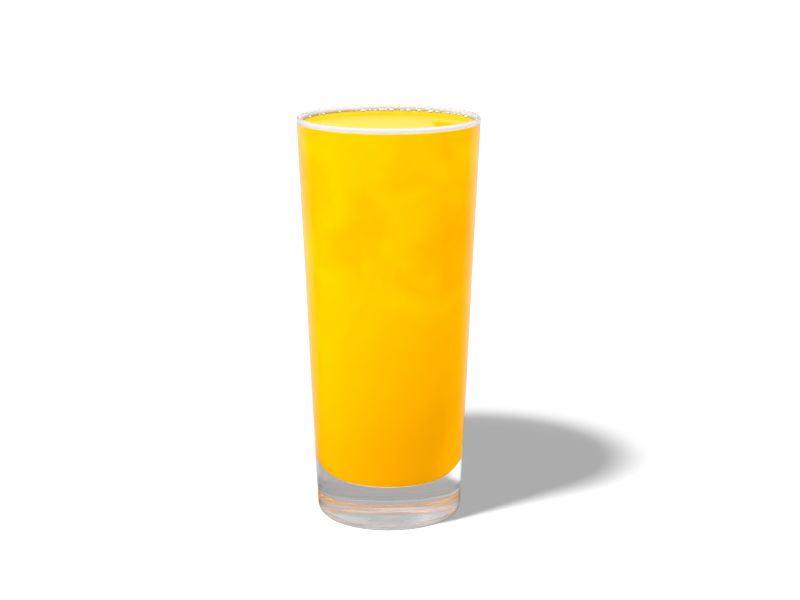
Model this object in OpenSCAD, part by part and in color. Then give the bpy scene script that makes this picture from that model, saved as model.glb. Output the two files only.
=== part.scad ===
// Tall tapered drinking glass with a heavy bottom, filled nearly to the rim with juice.
// Millimetres, +Z up, origin at the middle of the ring that the glass stands on.
// Both pieces are turned about Z from one half section, so the juice follows the glass.

/* [Glass] */
// Height of the glass
glass_h = 148; // [100:1:200]
// Outside diameter that the tapered wall reaches at the rim
rim_d = 66; // [60:1:90]
// Outside diameter that the tapered wall would reach at the table
foot_d = 52.2; // [50:0.2:64]
// Wall thickness at the rim
rim_wall = 1.8; // [1:0.1:3]
// Wall thickness that the straight inside wall would reach at the inside floor
low_wall = 2.4; // [1.5:0.1:4]

/* [Bottom] */
// Thickness of the glass under the middle of the drink
floor_t = 14.7; // [6:0.1:25]
// Radius of the flat middle of the inside floor
flat_r = 10; // [4:0.5:11]
// Radius of the curve around the flat inside floor
floor_r = 7.8; // [4:0.1:10]
// Radius of the long curve that leads from there up into the wall
shoulder_r = 50; // [35:1:90]
// Radius of the rounded outside edge at the table
heel_r = 4.7; // [2:0.1:6]
// Width of the flat ring that the glass stands on
ring_w = 3.6; // [2:0.1:8]
// Depth of the hollow inside that ring
punt_h = 1.2; // [0.5:0.1:3]

/* [Juice] */
// Depth of the juice's surface below the rim
juice_drop = 2.8; // [2.6:0.1:20]
// Height that the juice climbs where it meets the glass
meniscus_h = 0.7; // [0.3:0.1:1.2]
// Radius of the hollow curve at the juice's edge
meniscus_r = 1.5; // [1:0.1:4]
// Gap between the juice and the glass
juice_gap = 0.05; // [0.02:0.01:0.19]

/* [Hidden] */
$fn = 180;

// The outside wall: radius gained per height, its lean and its radius at height z
outer_slope = (rim_d - foot_d) / 2 / glass_h;
outer_lean = atan(outer_slope);
function outer_r(z) = foot_d / 2 + outer_slope * z;

// The inside wall in the same way; the juice's own wall stands a gap inside the glass
inner_foot_r = outer_r(floor_t) - low_wall;
inner_slope = (rim_d / 2 - rim_wall - inner_foot_r) / (glass_h - floor_t);
inner_lean = atan(inner_slope);
function inner_r(z, gap) = inner_foot_r + inner_slope * (z - floor_t) - gap / cos(inner_lean);

// Unit vectors across the walls, away from the axis, and up along the inside wall
outer_normal = [cos(outer_lean), -sin(outer_lean)];
inner_normal = [cos(inner_lean), -sin(inner_lean)];
inner_up = [sin(inner_lean), cos(inner_lean)];

// The rim is one full round, whose circle touches both walls and the top
rim_r = rim_wall / (1 / cos(outer_lean) + 1 / cos(inner_lean) - (inner_slope - outer_slope));
rim_centre = [outer_r(glass_h - rim_r) - rim_r / cos(outer_lean), glass_h - rim_r];

// The heel's circle touches the outside wall and the table
heel_centre = [outer_r(heel_r) - heel_r / cos(outer_lean), heel_r];

// The inside floor's curve starts at the edge of the flat
floor_centre = [flat_r, floor_t + floor_r];

// The shoulder's circle touches the inside wall and holds the floor's circle, which it touches.
// Its centre slides along a line that lies shoulder_r inside the wall.
slide_start = [inner_foot_r, floor_t] - shoulder_r * inner_normal;
to_slide = slide_start - floor_centre;
slide_half = to_slide * inner_up;
slide_len = -slide_half + sqrt(slide_half ^ 2 - to_slide * to_slide + (shoulder_r - floor_r) ^ 2);
shoulder_centre = slide_start + slide_len * inner_up;
shoulder_low = (floor_centre - shoulder_centre) / norm(floor_centre - shoulder_centre);

// The punt is the hollow under the base, a shallow dome cut by a large sphere
punt_r = heel_centre.x - ring_w;
punt_sphere_r = (punt_r ^ 2 + punt_h ^ 2) / (2 * punt_h);

// The juice's surface, and the edge where it meets the glass
juice_z = glass_h - juice_drop;
edge_z = juice_z + meniscus_h;
edge_r = inner_r(edge_z, juice_gap);
meniscus_x = edge_r - sqrt(meniscus_h * (2 * meniscus_r - meniscus_h));

// Points of the inside's half section from the axis up to where the straight wall begins
function inside_points(gap = 0) = [
    [0, floor_t + gap],
    [flat_r, floor_t + gap],
    shoulder_centre + (shoulder_r - gap) * shoulder_low,
    shoulder_centre + (shoulder_r - gap) * inner_normal
];

module disc(centre, r) {
    translate(centre) circle(r);
}

// The two round stretches of the inside, which bulge past the chords between its points
module inside_rounds(gap = 0) {
    wedge = 2 * shoulder_r;
    disc(floor_centre, floor_r - gap);
    intersection() {
        disc(shoulder_centre, shoulder_r - gap);
        polygon([
            shoulder_centre,
            shoulder_centre + wedge * shoulder_low,
            shoulder_centre + wedge * inner_normal
        ]);
    }
}

// Keeps the half of a section that lies on the axis's right
module right_half() {
    intersection() {
        children();
        square([rim_d, glass_h]);
    }
}

module glass_section() {
    inside = inside_points();
    difference() {
        union() {
            polygon([
                [0, 0],
                [heel_centre.x, 0],
                heel_centre + heel_r * outer_normal,
                rim_centre + rim_r * outer_normal,
                rim_centre - rim_r * inner_normal,
                each [for (i = [len(inside) - 1:-1:0]) inside[i]]
            ]);
            disc(heel_centre, heel_r);
            disc(rim_centre, rim_r);
        }
        inside_rounds();
        disc([0, punt_h - punt_sphere_r], punt_sphere_r);
    }
}

module juice_section() {
    difference() {
        right_half() {
            polygon([
                each inside_points(juice_gap),
                [edge_r, edge_z],
                [meniscus_x, juice_z],
                [0, juice_z]
            ]);
            inside_rounds(juice_gap);
        }
        disc([meniscus_x, juice_z + meniscus_r], meniscus_r);
    }
}

module glass() {
    color([0.86, 0.91, 0.93, 0.35]) rotate_extrude() glass_section();
}

module juice() {
    color([1, 0.72, 0.02]) rotate_extrude() juice_section();
}

glass();
juice();
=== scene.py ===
"""The looks of a glass of orange juice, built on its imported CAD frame."""

import math
import random

import bmesh
import bpy
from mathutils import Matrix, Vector


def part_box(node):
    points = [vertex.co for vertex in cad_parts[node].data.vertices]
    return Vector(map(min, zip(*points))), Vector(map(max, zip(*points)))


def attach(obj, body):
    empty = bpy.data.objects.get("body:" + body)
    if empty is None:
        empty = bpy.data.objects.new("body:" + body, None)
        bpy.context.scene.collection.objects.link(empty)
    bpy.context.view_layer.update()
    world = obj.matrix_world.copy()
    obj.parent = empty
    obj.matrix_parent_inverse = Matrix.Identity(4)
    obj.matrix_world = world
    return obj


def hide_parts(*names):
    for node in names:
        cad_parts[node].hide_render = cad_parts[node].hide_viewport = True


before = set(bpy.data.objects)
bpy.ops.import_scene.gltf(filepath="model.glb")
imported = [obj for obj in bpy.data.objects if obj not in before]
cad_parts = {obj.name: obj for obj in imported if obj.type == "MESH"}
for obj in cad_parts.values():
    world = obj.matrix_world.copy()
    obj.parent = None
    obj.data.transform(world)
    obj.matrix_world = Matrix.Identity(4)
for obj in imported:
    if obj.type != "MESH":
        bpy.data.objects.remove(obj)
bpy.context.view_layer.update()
glass_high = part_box("glass")[1]
juice_low, juice_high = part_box("juice")

MM = 0.001

# The half section, as the CAD part has it. Heights come from the frame.
HEIGHT = glass_high.z
JUICE_GAP = 0.05 * MM
FLOOR_Z = juice_low.z - JUICE_GAP
EDGE_Z = juice_high.z
RIM_R = 33.0 * MM
FOOT_R = 26.1 * MM
RIM_WALL = 1.8 * MM
LOW_WALL = 2.4 * MM
FLAT_R = 10.0 * MM
FLOOR_CURVE_R = 7.8 * MM
SHOULDER_R = 50.0 * MM
HEEL_R = 4.7 * MM
RING_W = 3.6 * MM
PUNT_H = 1.2 * MM
MENISCUS_H = 0.7 * MM
MENISCUS_R = 1.5 * MM
JUICE_Z = EDGE_Z - MENISCUS_H

# How far the juice reaches into the glass wall, so that no air shows between them
REACH = 0.04 * MM

# Faces round each turned piece
SEGMENTS = 256

# The wet film above the juice: its thickness, how far it dips below the juice's edge,
# and the angle on the rim's round where it ends
FILM = 0.03 * MM
FILM_DIP = 0.02 * MM
FILM_END = math.radians(115)

# The rim's painted light, a pale grey finish standing in for the bright light the rim reflects and carries:
# the heights over which it sets in, and how strong it is
RIM_PAINTED_LIGHT_LOW = HEIGHT - 1.85 * MM
RIM_PAINTED_LIGHT_HIGH = HEIGHT - 1.6 * MM
RIM_PAINTED_LIGHT_SHARE = 0.92

# Painted pale streaks round the heel, standing in for reflections there: the heights over which they fade
# out, and the least and most of the painted pale finish
HEEL_FADE_LOW = 2.5 * MM
HEEL_FADE_HIGH = 6.0 * MM
HEEL_CLEAREST = 0.08
HEEL_PALEST_PAINTED = 0.65

# The juice's clouds set in over these heights. Its darker painted shade at the floor is gone at the upper
# one.
CLOUDS_LOW = 50.0 * MM
CLOUDS_HIGH = 90.0 * MM

# The juice's painted light at its rounded foot fades out over these heights
LIT_FOOT_LOW = FLOOR_Z + 0.35 * MM
LIT_FOOT_HIGH = FLOOR_Z + 0.85 * MM

# The film fades out towards the front between these places along Y
FILM_FRONT = -14.0 * MM
FILM_BACK = -4.0 * MM

# Large bubbles along the back edge of the juice: degrees from the back towards +X, and width in millimetres
LARGE_BUBBLES = [
    (-68, 0.8), (-55, 0.6), (-51, 0.9), (-36, 0.8), (-23, 0.6),
    (-18, 1.5), (-13, 1.0), (-9, 0.9), (-5, 1.6), (-2, 1.2),
    (2, 1.7), (9, 0.9), (14, 1.6), (22, 1.4), (31, 1.8),
    (36, 1.3), (46, 1.2), (52, 1.0), (57, 1.1), (67, 1.3),
]
LARGE_BUBBLE_RISE = 0.4 * MM
SMALL_BUBBLES = 70
BUBBLE_SQUASH = 0.8


# ---------------------------------------------------------------- half section

outer_slope = (RIM_R - FOOT_R) / HEIGHT
outer_lean = math.atan(outer_slope)
inner_foot_r = FOOT_R + outer_slope * FLOOR_Z - LOW_WALL
inner_slope = (RIM_R - RIM_WALL - inner_foot_r) / (HEIGHT - FLOOR_Z)
inner_lean = math.atan(inner_slope)
floor_centre = Vector((FLAT_R, FLOOR_Z + FLOOR_CURVE_R))


def outer_r(z):
    return FOOT_R + outer_slope * z


def inner_r(z, reach=0.0):
    return inner_foot_r + inner_slope * (z - FLOOR_Z) + reach / math.cos(inner_lean)


def shoulder_centre():
    """Centre of the arc that touches the inside wall and the floor's arc."""
    normal = Vector((math.cos(inner_lean), -math.sin(inner_lean)))
    along = Vector((math.sin(inner_lean), math.cos(inner_lean)))
    start = Vector((inner_foot_r, FLOOR_Z)) - SHOULDER_R * normal
    offset = start - floor_centre
    half = offset.dot(along)
    length = -half + math.sqrt(half**2 - offset.length_squared + (SHOULDER_R - FLOOR_CURVE_R) ** 2)
    return start + length * along


def arc(centre, radius, start, end, steps, hollow=False):
    """Points on an arc, each with the surface's normal, which points to the centre if hollow."""
    run = []
    for i in range(steps + 1):
        angle = start + (end - start) * i / steps
        way = Vector((math.cos(angle), math.sin(angle)))
        run.append((Vector(centre) + radius * way, -way if hollow else way))
    return run


def line(start, end, steps=1):
    """Points on a straight line with the normal on its right."""
    start, end = Vector(start), Vector(end)
    along = (end - start).normalized()
    normal = Vector((along.y, -along.x))
    return [(start.lerp(end, i / steps), normal) for i in range(steps + 1)]


def inside_arcs(reach):
    """The floor's arc and the shoulder's arc, from the flat floor up to the straight wall."""
    centre = shoulder_centre()
    join = math.atan2(floor_centre.y - centre.y, floor_centre.x - centre.x)
    return [
        arc(floor_centre, FLOOR_CURVE_R + reach, -math.pi / 2, join, 14),
        arc(centre, SHOULDER_R + reach, join, -inner_lean, 20),
    ]


def turned_over(run):
    """The same run walked the other way, with its normals turned round."""
    return [(point, -normal) for point, normal in reversed(run)]


def rim_round():
    """Centre and radius of the full round of the rim."""
    radius = RIM_WALL / (1 / math.cos(outer_lean) + 1 / math.cos(inner_lean) - (inner_slope - outer_slope))
    z = HEIGHT - radius
    return Vector((outer_r(z) - radius / math.cos(outer_lean), z)), radius


def glass_runs():
    """The whole outline of the glass, from the hollow under its base round to the inside floor."""
    rim_centre, rim_radius = rim_round()
    heel_centre = Vector((outer_r(HEEL_R) - HEEL_R / math.cos(outer_lean), HEEL_R))
    punt_r = heel_centre.x - RING_W
    punt_radius = (punt_r**2 + PUNT_H**2) / (2 * PUNT_H)
    punt_edge = math.acos(punt_r / punt_radius)
    punt = arc((0, PUNT_H - punt_radius), punt_radius, math.pi / 2, punt_edge, 24, hollow=True)
    heel = arc(heel_centre, HEEL_R, -math.pi / 2, -outer_lean, 20)
    rim = arc(rim_centre, rim_radius, -outer_lean, math.pi - inner_lean, 24)
    floor_arc, shoulder = inside_arcs(0.0)
    return [
        punt,
        line(punt[-1][0], heel[0][0]),
        heel,
        line(heel[-1][0], rim[0][0], 40),
        rim,
        line(rim[-1][0], shoulder[-1][0], 30),
        turned_over(shoulder),
        turned_over(floor_arc),
        line(floor_arc[0][0], (0, FLOOR_Z), 4),
    ]


def juice_runs():
    """The outline of the juice: what the glass holds, then its open surface."""
    floor_arc, shoulder = inside_arcs(REACH)
    edge = Vector((inner_r(EDGE_Z, REACH), EDGE_Z))
    start = math.asin((MENISCUS_H - MENISCUS_R) / MENISCUS_R)
    centre = Vector((edge.x - MENISCUS_R * math.cos(start), JUICE_Z + MENISCUS_R))
    meniscus = arc(centre, MENISCUS_R, start, -math.pi / 2, 14, hollow=True)
    held = [
        line((0, FLOOR_Z - REACH), floor_arc[0][0], 4),
        floor_arc,
        shoulder,
        line(shoulder[-1][0], edge, 60),
    ]
    surface = [meniscus, line(meniscus[-1][0], (0, JUICE_Z), 24)]
    return held, surface


def film_runs():
    """The outline of the thin wet film on the wall and the rim above the juice's edge."""
    rim_centre, rim_radius = rim_round()
    wall_end = math.pi - inner_lean
    low = EDGE_Z - FILM_DIP
    held = arc(rim_centre, rim_radius - REACH, wall_end, FILM_END, 10, hollow=True)
    free = arc(rim_centre, rim_radius + FILM, FILM_END, wall_end, 10)
    free_foot = Vector((inner_r(low, -FILM), low))
    held_foot = Vector((inner_r(low, REACH), low))
    return [
        line(free_foot, held_foot),
        line(held_foot, held[0][0], 4),
        held,
        line(held[-1][0], free[0][0]),
        free,
        line(free[-1][0], free_foot, 4),
    ]


# ---------------------------------------------------------------- mesh building


def lathe(name, groups):
    """Turns outlines about Z into one closed mesh. Each group of runs has a material of its own."""
    points, faces, slots, corner_normals, rings = [], [], [], [], {}

    def turned(flat, i):
        """A point or normal of the half section, turned to the segment i."""
        turn = 2 * math.pi * i / SEGMENTS
        return (flat.x * math.cos(turn), flat.x * math.sin(turn), flat.y)

    def ring(point):
        """The numbers of the mesh points at a point of the half section: one on the axis, else a ring."""
        key = (round(point.x, 9), round(point.y, 9))
        if key not in rings:
            count = SEGMENTS if key[0] > 0 else 1
            rings[key] = range(len(points), len(points) + count)
            points.extend(turned(point, i) for i in range(count))
        return rings[key]

    def corner(which, normal, i):
        corner_normals.append(turned(normal, i))
        return which[i % len(which)]

    for slot, runs in enumerate(groups):
        for run in runs:
            for (low, low_normal), (high, high_normal) in zip(run, run[1:]):
                first, last = ring(low), ring(high)
                for i in range(SEGMENTS):
                    face = [corner(first, low_normal, i)]
                    if len(first) > 1:
                        face.append(corner(first, low_normal, i + 1))
                    if len(last) > 1:
                        face.append(corner(last, high_normal, i + 1))
                    face.append(corner(last, high_normal, i))
                    faces.append(face)
                    slots.append(slot)
    mesh = bpy.data.meshes.new(name)
    mesh.from_pydata(points, [], faces)
    mesh.polygons.foreach_set("material_index", slots)
    mesh.normals_split_custom_set(corner_normals)
    mesh.update()
    return link_object(name, mesh)


def link_object(name, data):
    """A new object in the scene."""
    made = bpy.data.objects.new(name, data)
    bpy.context.scene.collection.objects.link(made)
    return made


def flat_panel(name, corners):
    """A flat four-cornered object for the stage."""
    mesh = bpy.data.meshes.new(name)
    mesh.from_pydata(corners, [], [(0, 1, 2, 3)])
    return link_object(name, mesh)


# ---------------------------------------------------------------- node helpers

# A Mix node's colour sockets and a Mix Shader's two shader inputs share their names, so they go by number
MIX_FIRST = 6
MIX_SECOND = 7
MIX_RESULT = 2
SHADER_FIRST = 1
SHADER_SECOND = 2


def new_material(name):
    """An empty node material, and its tree."""
    material = bpy.data.materials.new(name)
    material.use_nodes = True
    material.node_tree.nodes.clear()
    return material, material.node_tree


def finish_surface(tree, shader):
    """Gives the shader's output to the material's surface."""
    output = tree.nodes.new("ShaderNodeOutputMaterial")
    tree.links.new(shader, output.inputs["Surface"])


def feed(tree, socket, value):
    """Gives an input another node's output, an RGB colour or a plain value."""
    if isinstance(value, bpy.types.NodeSocket):
        tree.links.new(value, socket)
    elif socket.type == "RGBA":
        socket.default_value = (*value, 1)
    else:
        socket.default_value = value


def node(tree, kind, **settings):
    """Makes a node. Settings feed its inputs, or set its properties where no input has that name."""
    made = tree.nodes.new(kind)
    for key, value in settings.items():
        label = key.replace("_", " ")
        if label in made.inputs:
            feed(tree, made.inputs[label], value)
        else:
            setattr(made, key, value)
    return made


def own_place(tree):
    """The place on the piece, in its own coordinates."""
    return node(tree, "ShaderNodeTexCoord").outputs["Object"]


def along_axis(tree, vector, axis):
    """One coordinate of a vector."""
    return node(tree, "ShaderNodeSeparateXYZ", Vector=vector).outputs[axis]


def noise(tree, vector, **settings):
    """A noise texture's value."""
    return node(tree, "ShaderNodeTexNoise", Vector=vector, **settings).outputs["Fac"]


def sweep(tree, value, start, end, low=0.0, high=1.0, smooth=False):
    """Goes from low to high as the value goes from start to end, and stays level past both."""
    made = node(tree, "ShaderNodeMapRange", From_Min=start, From_Max=end, To_Min=low, To_Max=high)
    made.interpolation_type = "SMOOTHSTEP" if smooth else "LINEAR"
    tree.links.new(value, made.inputs["Value"])
    return made.outputs["Result"]


def height_share(tree, place, low, high):
    """0 below the height low, 1 above the height high, smooth between them."""
    return sweep(tree, along_axis(tree, place, "Z"), low, high, smooth=True)


def combined(tree, operation, first, second):
    """Arithmetic on two values."""
    made = node(tree, "ShaderNodeMath", operation=operation)
    feed(tree, made.inputs[0], first)
    feed(tree, made.inputs[1], second)
    return made.outputs["Value"]


def length_of(tree, vector):
    made = node(tree, "ShaderNodeVectorMath", operation="LENGTH")
    feed(tree, made.inputs[0], vector)
    return made.outputs["Value"]


def colour_ramp(tree, share, stops):
    """A colour ramp from (position, colour) stops."""
    made = node(tree, "ShaderNodeValToRGB", Fac=share)
    elements = made.color_ramp.elements
    while len(elements) < len(stops):
        elements.new(1.0)
    for element, (position, colour) in zip(elements, stops):
        element.position = position
        element.color = (*colour, 1)
    return made.outputs["Color"]


def mixed_colour(tree, share, first, second):
    """The first colour where the share is 0, and the second where it is 1."""
    made = node(tree, "ShaderNodeMix", data_type="RGBA", Factor=share)
    feed(tree, made.inputs[MIX_FIRST], first)
    feed(tree, made.inputs[MIX_SECOND], second)
    return made.outputs[MIX_RESULT]


def mixed_shader(tree, share, first, second):
    """The first shader where the share is 0, and the second where it is 1."""
    made = node(tree, "ShaderNodeMixShader", Fac=share)
    feed(tree, made.inputs[SHADER_FIRST], first)
    feed(tree, made.inputs[SHADER_SECOND], second)
    return made.outputs["Shader"]


def principled(tree, **settings):
    return node(tree, "ShaderNodeBsdfPrincipled", **settings).outputs["BSDF"]


# ---------------------------------------------------------------- glass material


def rim_painted_light(tree, place):
    """Painted light: the rim is nearly all a pale grey finish that stands in for its bright reflections."""
    upper = height_share(tree, place, RIM_PAINTED_LIGHT_LOW, RIM_PAINTED_LIGHT_HIGH)
    return combined(tree, "MULTIPLY", upper, RIM_PAINTED_LIGHT_SHARE)


def heel_painted_streaks(tree, place):
    """Painted reflection: fine level pale streaks round the heel, fading out above it, standing in for
    reflected pale surroundings. They soften the juice's reflection there.
    """
    flat_place = node(tree, "ShaderNodeMapping", Vector=place, Scale=(60, 60, 1400)).outputs["Vector"]
    streaks = noise(tree, flat_place, Scale=1.0, Detail=2.0)
    share = sweep(tree, streaks, 0.35, 0.6, HEEL_CLEAREST, HEEL_PALEST_PAINTED)
    above = height_share(tree, place, HEEL_FADE_LOW, HEEL_FADE_HIGH)
    return combined(tree, "MULTIPLY", combined(tree, "SUBTRACT", 1.0, above), share)


def clear_shader(tree, place):
    """Clear glass with a faint ripple."""
    ripple = noise(tree, place, Scale=70.0, Detail=1.0)
    bump = node(tree, "ShaderNodeBump", Height=ripple, Strength=0.03, Distance=1.0 * MM)
    return principled(
        tree,
        Base_Color=(0.99, 0.99, 0.99),
        Roughness=0.0,
        IOR=1.5,
        Transmission_Weight=1.0,
        Normal=bump.outputs["Normal"],
    )


def glass_material():
    """Clear glass with painted light: a pale grey finish at its rim and in streaks round its heel, standing
    in for reflections.
    """
    material, tree = new_material("clear_glass")
    place = own_place(tree)
    painted_light_share = combined(tree, "MAXIMUM", rim_painted_light(tree, place), heel_painted_streaks(tree, place))
    # A pale grey finish lit by lamps: the painted light on the rim and heel
    painted_pale_finish = principled(tree, Base_Color=(0.54, 0.53, 0.55), Roughness=0.15, IOR=1.5)
    finish_surface(tree, mixed_shader(tree, painted_light_share, clear_shader(tree, place), painted_pale_finish))
    return material


# ---------------------------------------------------------------- juice materials


def juice_colour(tree, place, thin, thick, shaded_low):
    """Cloudy juice: soft clouds in the upper half, then smooth, and darker in colour towards the bottom, as
    painted shade near the floor.
    """
    clouds = noise(tree, place, Scale=42.0, Detail=5.0, Distortion=0.9)
    cloudy = colour_ramp(tree, clouds, [(0.34, thick), (0.7, thin)])
    smooth = [(a + b) / 2 for a, b in zip(thin, thick)]
    upper = height_share(tree, place, CLOUDS_LOW, CLOUDS_HIGH)
    # Towards the floor the colour turns darker: painted shade
    above_floor = height_share(tree, place, FLOOR_Z, CLOUDS_HIGH)
    return mixed_colour(tree, above_floor, shaded_low, mixed_colour(tree, upper, smooth, cloudy))


def juice_side_material():
    """The side that the glass covers. Its rounded foot, where light comes through, is painted paler: painted
    light.
    """
    material, tree = new_material("juice_side")
    place = own_place(tree)
    colour = juice_colour(
        tree,
        place,
        thin=(0.97, 0.48, 0.0),
        thick=(0.95, 0.38, 0.0),
        shaded_low=(0.80, 0.325, 0.0),
    )
    above_foot = height_share(tree, place, LIT_FOOT_LOW, LIT_FOOT_HIGH)
    # Pale yellow at the foot: painted light coming through the thin edge
    with_lit_foot = mixed_colour(tree, above_foot, (1.0, 0.84, 0.5), colour)
    shader = principled(tree, Base_Color=with_lit_foot, Roughness=0.6, IOR=1.34, Specular_IOR_Level=0.0)
    finish_surface(tree, shader)
    return material


def juice_top_material():
    """The wet open surface, painted paler and yellower than the side as painted light, and duller olive where
    it climbs the glass as painted shade.
    """
    material, tree = new_material("juice_top")
    place = own_place(tree)
    # A paler, yellower copy of the side's colours: painted light on the top
    colour = juice_colour(
        tree,
        place,
        thin=(0.96, 0.51, 0.0),
        thick=(0.95, 0.47, 0.0),
        shaded_low=(0.83, 0.34, 0.0),
    )
    climb = height_share(tree, place, JUICE_Z, JUICE_Z + 0.7 * MENISCUS_H)
    # Darker olive at the meniscus: painted shade
    with_shaded_edge = mixed_colour(tree, climb, colour, (0.62, 0.37, 0.05))
    shader = principled(tree, Base_Color=with_shaded_edge, Roughness=0.04, IOR=1.34, Specular_IOR_Level=0.01)
    finish_surface(tree, shader)
    return material


def film_material():
    """The wet film: real juice on the wall, with olive painted shade where it's thick at the juice's edge,
    fading out towards the rim and the front.
    """
    material, tree = new_material("juice_film")
    place = own_place(tree)
    thinning = height_share(tree, place, EDGE_Z, HEIGHT - 0.5 * MM)
    # Olive at the thick foot, paler higher up: painted shade of light lost in thicker juice
    colour = colour_ramp(tree, thinning, [(0.0, (0.34, 0.22, 0.0)), (0.7, (0.44, 0.36, 0.05))])
    cover = sweep(tree, thinning, 0.0, 1.0, 0.9, 0.0)
    uneven = sweep(tree, noise(tree, place, Scale=120.0, Detail=2.0), 0.3, 0.7, 0.75, 1.0)
    behind = sweep(tree, along_axis(tree, place, "Y"), FILM_FRONT, FILM_BACK, smooth=True)
    alpha = combined(tree, "MULTIPLY", combined(tree, "MULTIPLY", cover, uneven), behind)
    shader = principled(tree, Base_Color=colour, Roughness=0.3, IOR=1.34, Specular_IOR_Level=0.2, Alpha=alpha)
    finish_surface(tree, shader)
    return material


def bubble_material():
    """Bubbles with painted light and shade: a cream middle standing in for the bright background seen through
    them, and olive brown painted shade at their feet and tops.
    """
    material, tree = new_material("bubble")
    up = node(tree, "ShaderNodeAttribute", attribute_name="up").outputs["Fac"]
    # Cream in the middle, olive brown at the foot and top: painted light and shade of light bent through each
    # bubble
    colour = colour_ramp(tree, up, [
        (0.0, (0.16, 0.09, 0.01)),
        (0.22, (0.34, 0.24, 0.04)),
        (0.4, (0.62, 0.56, 0.33)),
        (0.6, (0.68, 0.67, 0.56)),
        (0.88, (0.62, 0.58, 0.40)),
        (1.0, (0.36, 0.29, 0.10)),
    ])
    finish_surface(tree, principled(tree, Base_Color=colour, Roughness=0.08, IOR=1.34))
    return material


# ---------------------------------------------------------------- bubbles


def bubble_places():
    """Each bubble's turn from the back, height and radius. The small ones fill in and climb the wall."""
    draws = random.Random(7)
    places = []
    for degrees, width in LARGE_BUBBLES:
        radius = width / 2 * MM
        places.append((math.radians(degrees), EDGE_Z + LARGE_BUBBLE_RISE, radius))
    for _ in range(SMALL_BUBBLES):
        turn = math.asin(draws.uniform(-0.36, 0.92))
        radius = draws.uniform(0.2, 0.42) * MM
        rise = draws.uniform(-0.1, 1.3) * MM
        places.append((turn, EDGE_Z + rise, radius))
    return places


def unit_ball():
    """Points and faces of a ball of radius 1."""
    built = bmesh.new()
    bmesh.ops.create_uvsphere(built, u_segments=16, v_segments=10, radius=1.0)
    points = [vertex.co.copy() for vertex in built.verts]
    faces = [[vertex.index for vertex in face.verts] for face in built.faces]
    built.free()
    return points, faces


def make_bubbles():
    """All the bubbles in one mesh. Its attribute up runs from 0 at each one's foot to 1 at its top, and
    places the bubbles' painted light and shade.
    """
    ball_points, ball_faces = unit_ball()
    points, faces, up = [], [], []
    for turn, z, radius in bubble_places():
        out = inner_r(min(z, EDGE_Z)) - radius
        centre = Vector((out * math.sin(turn), out * math.cos(turn), z))
        first = len(points)
        for spot in ball_points:
            points.append(centre + radius * Vector((spot.x, spot.y, BUBBLE_SQUASH * spot.z)))
            up.append(0.5 + 0.5 * spot.z)
        faces.extend([first + index for index in face] for face in ball_faces)
    mesh = bpy.data.meshes.new("bubbles")
    mesh.from_pydata(points, [], faces)
    mesh.attributes.new("up", "FLOAT", "POINT").data.foreach_set("value", up)
    mesh.shade_smooth()
    return link_object("bubbles", mesh)


# ---------------------------------------------------------------- pieces

glass = lathe("clear_glass", [glass_runs()])
glass.data.materials.append(glass_material())
glass.visible_shadow = False
glass.visible_diffuse = False
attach(glass, "root")
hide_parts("glass")

juice = lathe("orange_juice", juice_runs())
juice.data.materials.append(juice_side_material())
juice.data.materials.append(juice_top_material())
juice.visible_diffuse = False
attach(juice, "root")
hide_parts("juice")

film = lathe("juice_film", [film_runs()])
film.data.materials.append(film_material())
film.visible_shadow = False
film.visible_diffuse = False
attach(film, "root")

bubbles = make_bubbles()
bubbles.data.materials.append(bubble_material())
bubbles.visible_shadow = False
bubbles.visible_glossy = False
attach(bubbles, "root")


# ---------------------------------------------------------------- stage

# The floor: its side, how far it lies below the glass, and where its glow begins and is full
FLOOR_SIZE = 20.0
FLOOR_DROP = 0.02 * MM
GLOW_START = 0.12
GLOW_FULL = 0.4
GLOW = 0.85

# The card that the juice's surface mirrors: where it stands,
# and its pale part's right end, lower edge and rounded lower corner
CARD_Y = 0.15
CARD_HALF = 0.046
CARD_LOW = 0.158
CARD_HIGH = 0.175
PALE_RIGHT = 0.0196
PALE_LOW = 0.1672
PALE_ROUND = 0.0064

# Brightness of the world all round
WORLD_LIGHT = 0.5


def mirror_ray(tree):
    """1 for a ray that came straight off a mirror reflection, 0 for any other."""
    path = node(tree, "ShaderNodeLightPath").outputs
    mirrored = node(tree, "ShaderNodeMath", operation="SUBTRACT", use_clamp=True)
    tree.links.new(path["Is Glossy Ray"], mirrored.inputs[0])
    tree.links.new(path["Is Transmission Ray"], mirrored.inputs[1])
    return mirrored.outputs["Value"]


def floor_darkness(tree, place):
    """How dark the floor is to mirror rays: half straight behind the glass, wholly beside and before it."""
    away = node(tree, "ShaderNodeVectorMath", operation="NORMALIZE")
    feed(tree, away.inputs[0], place)
    front = sweep(tree, along_axis(tree, away.outputs["Vector"], "Y"), 0.4, 0.95, 1.0, 0.5, smooth=True)
    return combined(tree, "MULTIPLY", front, mirror_ray(tree))


def floor_material():
    """White, and glowing far from the glass. In mirror reflections it is dark, as a black card's is."""
    material, tree = new_material("floor_white")
    place = own_place(tree)
    white = principled(
        tree,
        Base_Color=(0.83, 0.83, 0.83),
        Roughness=1.0,
        Specular_IOR_Level=0.0,
        Emission_Color=(1, 1, 1),
        Emission_Strength=sweep(tree, length_of(tree, place), GLOW_START, GLOW_FULL, 0.0, GLOW),
    )
    black = node(tree, "ShaderNodeEmission", Strength=0.0).outputs["Emission"]
    finish_surface(tree, mixed_shader(tree, floor_darkness(tree, place), white, black))
    return material


def make_floor():
    half = FLOOR_SIZE / 2
    floor = flat_panel("floor", [
        (-half, -half, -FLOOR_DROP),
        (half, -half, -FLOOR_DROP),
        (half, half, -FLOOR_DROP),
        (-half, half, -FLOOR_DROP),
    ])
    floor.data.materials.append(floor_material())
    return floor


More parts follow.
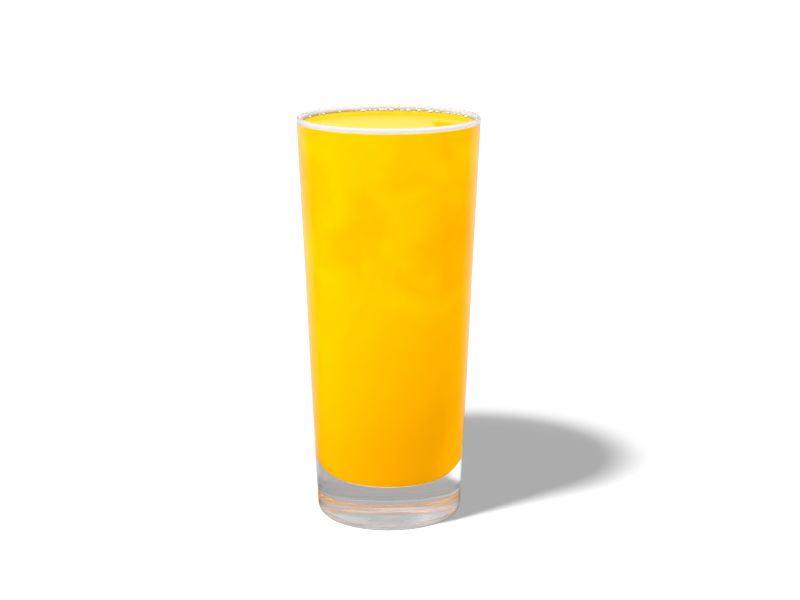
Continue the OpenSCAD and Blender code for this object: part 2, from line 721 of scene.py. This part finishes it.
def card_paleness(tree, place):
    """1 on the card's pale part, 0 on the rest. The edge between is rounded at the lower right and soft."""
    right = sweep(tree, along_axis(tree, place, "X"), 0.0, 2 * PALE_RIGHT, 0.0, 2.0)
    below = sweep(tree, along_axis(tree, place, "Z"), PALE_LOW, PALE_LOW - 2 * PALE_ROUND, 0.0, 2.0)
    joined = node(tree, "ShaderNodeCombineXYZ", X=right, Y=below).outputs["Vector"]
    return sweep(tree, length_of(tree, joined), 0.96, 1.04, 1.0, 0.0)


def card_material():
    """Pale on the left, black on the right, and clear to every ray but mirror reflections."""
    material, tree = new_material("card_pale_and_black")
    paleness = card_paleness(tree, own_place(tree))
    shine = node(tree, "ShaderNodeEmission", Strength=paleness).outputs["Emission"]
    clear = node(tree, "ShaderNodeBsdfTransparent").outputs["BSDF"]
    mirrored = node(tree, "ShaderNodeLightPath").outputs["Glossy Depth"]
    finish_surface(tree, mixed_shader(tree, mirrored, clear, shine))
    return material


def make_card():
    """A card behind the glass that shows only in mirror reflections."""
    card = flat_panel("card", [
        (-CARD_HALF, CARD_Y, CARD_LOW),
        (CARD_HALF, CARD_Y, CARD_LOW),
        (CARD_HALF, CARD_Y, CARD_HIGH),
        (-CARD_HALF, CARD_Y, CARD_HIGH),
    ])
    card.data.materials.append(card_material())
    card.visible_camera = False
    card.visible_diffuse = False
    card.visible_shadow = False


def make_world():
    """Grey-white all round, and dark to rays that come straight off a mirror reflection."""
    world = bpy.data.worlds.new("studio")
    bpy.context.scene.world = world
    world.use_nodes = True
    tree = world.node_tree
    tree.nodes.clear()
    strength = sweep(tree, mirror_ray(tree), 0.0, 1.0, WORLD_LIGHT, 0.0)
    background = node(tree, "ShaderNodeBackground", Color=(1, 1, 1), Strength=strength)
    output = tree.nodes.new("ShaderNodeOutputWorld")
    tree.links.new(background.outputs["Background"], output.inputs["Surface"])


def make_lamp(name, place, aim, size, energy, receivers):
    """A round soft lamp that lights only the receivers and isn't mirrored in anything."""
    data = bpy.data.lights.new(name, "AREA")
    data.shape = "DISK"
    data.size = size
    data.energy = energy
    lamp = link_object(name, data)
    lamp.location = place
    lamp.rotation_euler = (Vector(aim) - Vector(place)).to_track_quat("-Z", "Y").to_euler()
    lamp.visible_camera = False
    lamp.visible_glossy = False
    lamp.visible_transmission = False
    lit = bpy.data.collections.new(name + "_lights")
    for receiver in receivers:
        lit.objects.link(receiver)
    lamp.light_linking.receiver_collection = lit


def make_camera():
    data = bpy.data.cameras.new("camera")
    data.lens = 95.04
    data.sensor_width = 36.0
    data.clip_start = 0.01
    data.clip_end = 100.0
    camera = link_object("camera", data)
    camera.location = (0.0, -0.7505, 0.2499)
    camera.rotation_euler = (math.radians(90 - 12.71), 0.0, math.radians(-0.31))
    bpy.context.scene.camera = camera


floor = make_floor()
whole = [juice, glass, film, bubbles]

# Each lamp: its name, where it stands, what it points at, its width, its watts and what it lights
make_lamp("key", (-0.0345, -0.0735, 0.292), (-0.0345, -0.0735, 0.0), 0.022, 1.32, [floor])
make_lamp("high_soft", (-0.1, -0.2, 0.48), (0.0, 0.0, 0.09), 0.24, 2.15, whole)
make_lamp("right_fill", (0.173, 0.0, 0.21), (0.0, 0.0, 0.13), 0.11, 0.09, whole)
make_lamp("left_edge", (-0.669, 0.386, 0.25), (0.0, 0.0, 0.07), 0.43, 3.1, whole)
make_lamp("left_low", (-0.09, -0.03, 0.015), (0.0, 0.0, 0.03), 0.04, 0.028, whole)
make_lamp("right_edge", (0.5, 0.45, 0.04), (0.0, 0.0, 0.04), 0.3, 1.8, whole)
make_lamp("right_low", (0.09, 0.06, 0.015), (0.0, 0.0, 0.03), 0.04, 0.10, whole)
make_lamp("upper_front", (0.06, -0.1, 0.2), (0.01, -0.03, 0.14), 0.05, 0.012, [juice])
make_lamp("rim_right", (0.3, -0.1, 0.3), (0.0, 0.0, 0.146), 0.15, 0.4, [glass])
make_lamp("rim_back", (0.05, 0.5, 0.25), (0.0, 0.0, 0.146), 0.3, 6.0, [glass])

make_card()
make_world()
make_camera()
bpy.context.scene.view_settings.view_transform = "Standard"
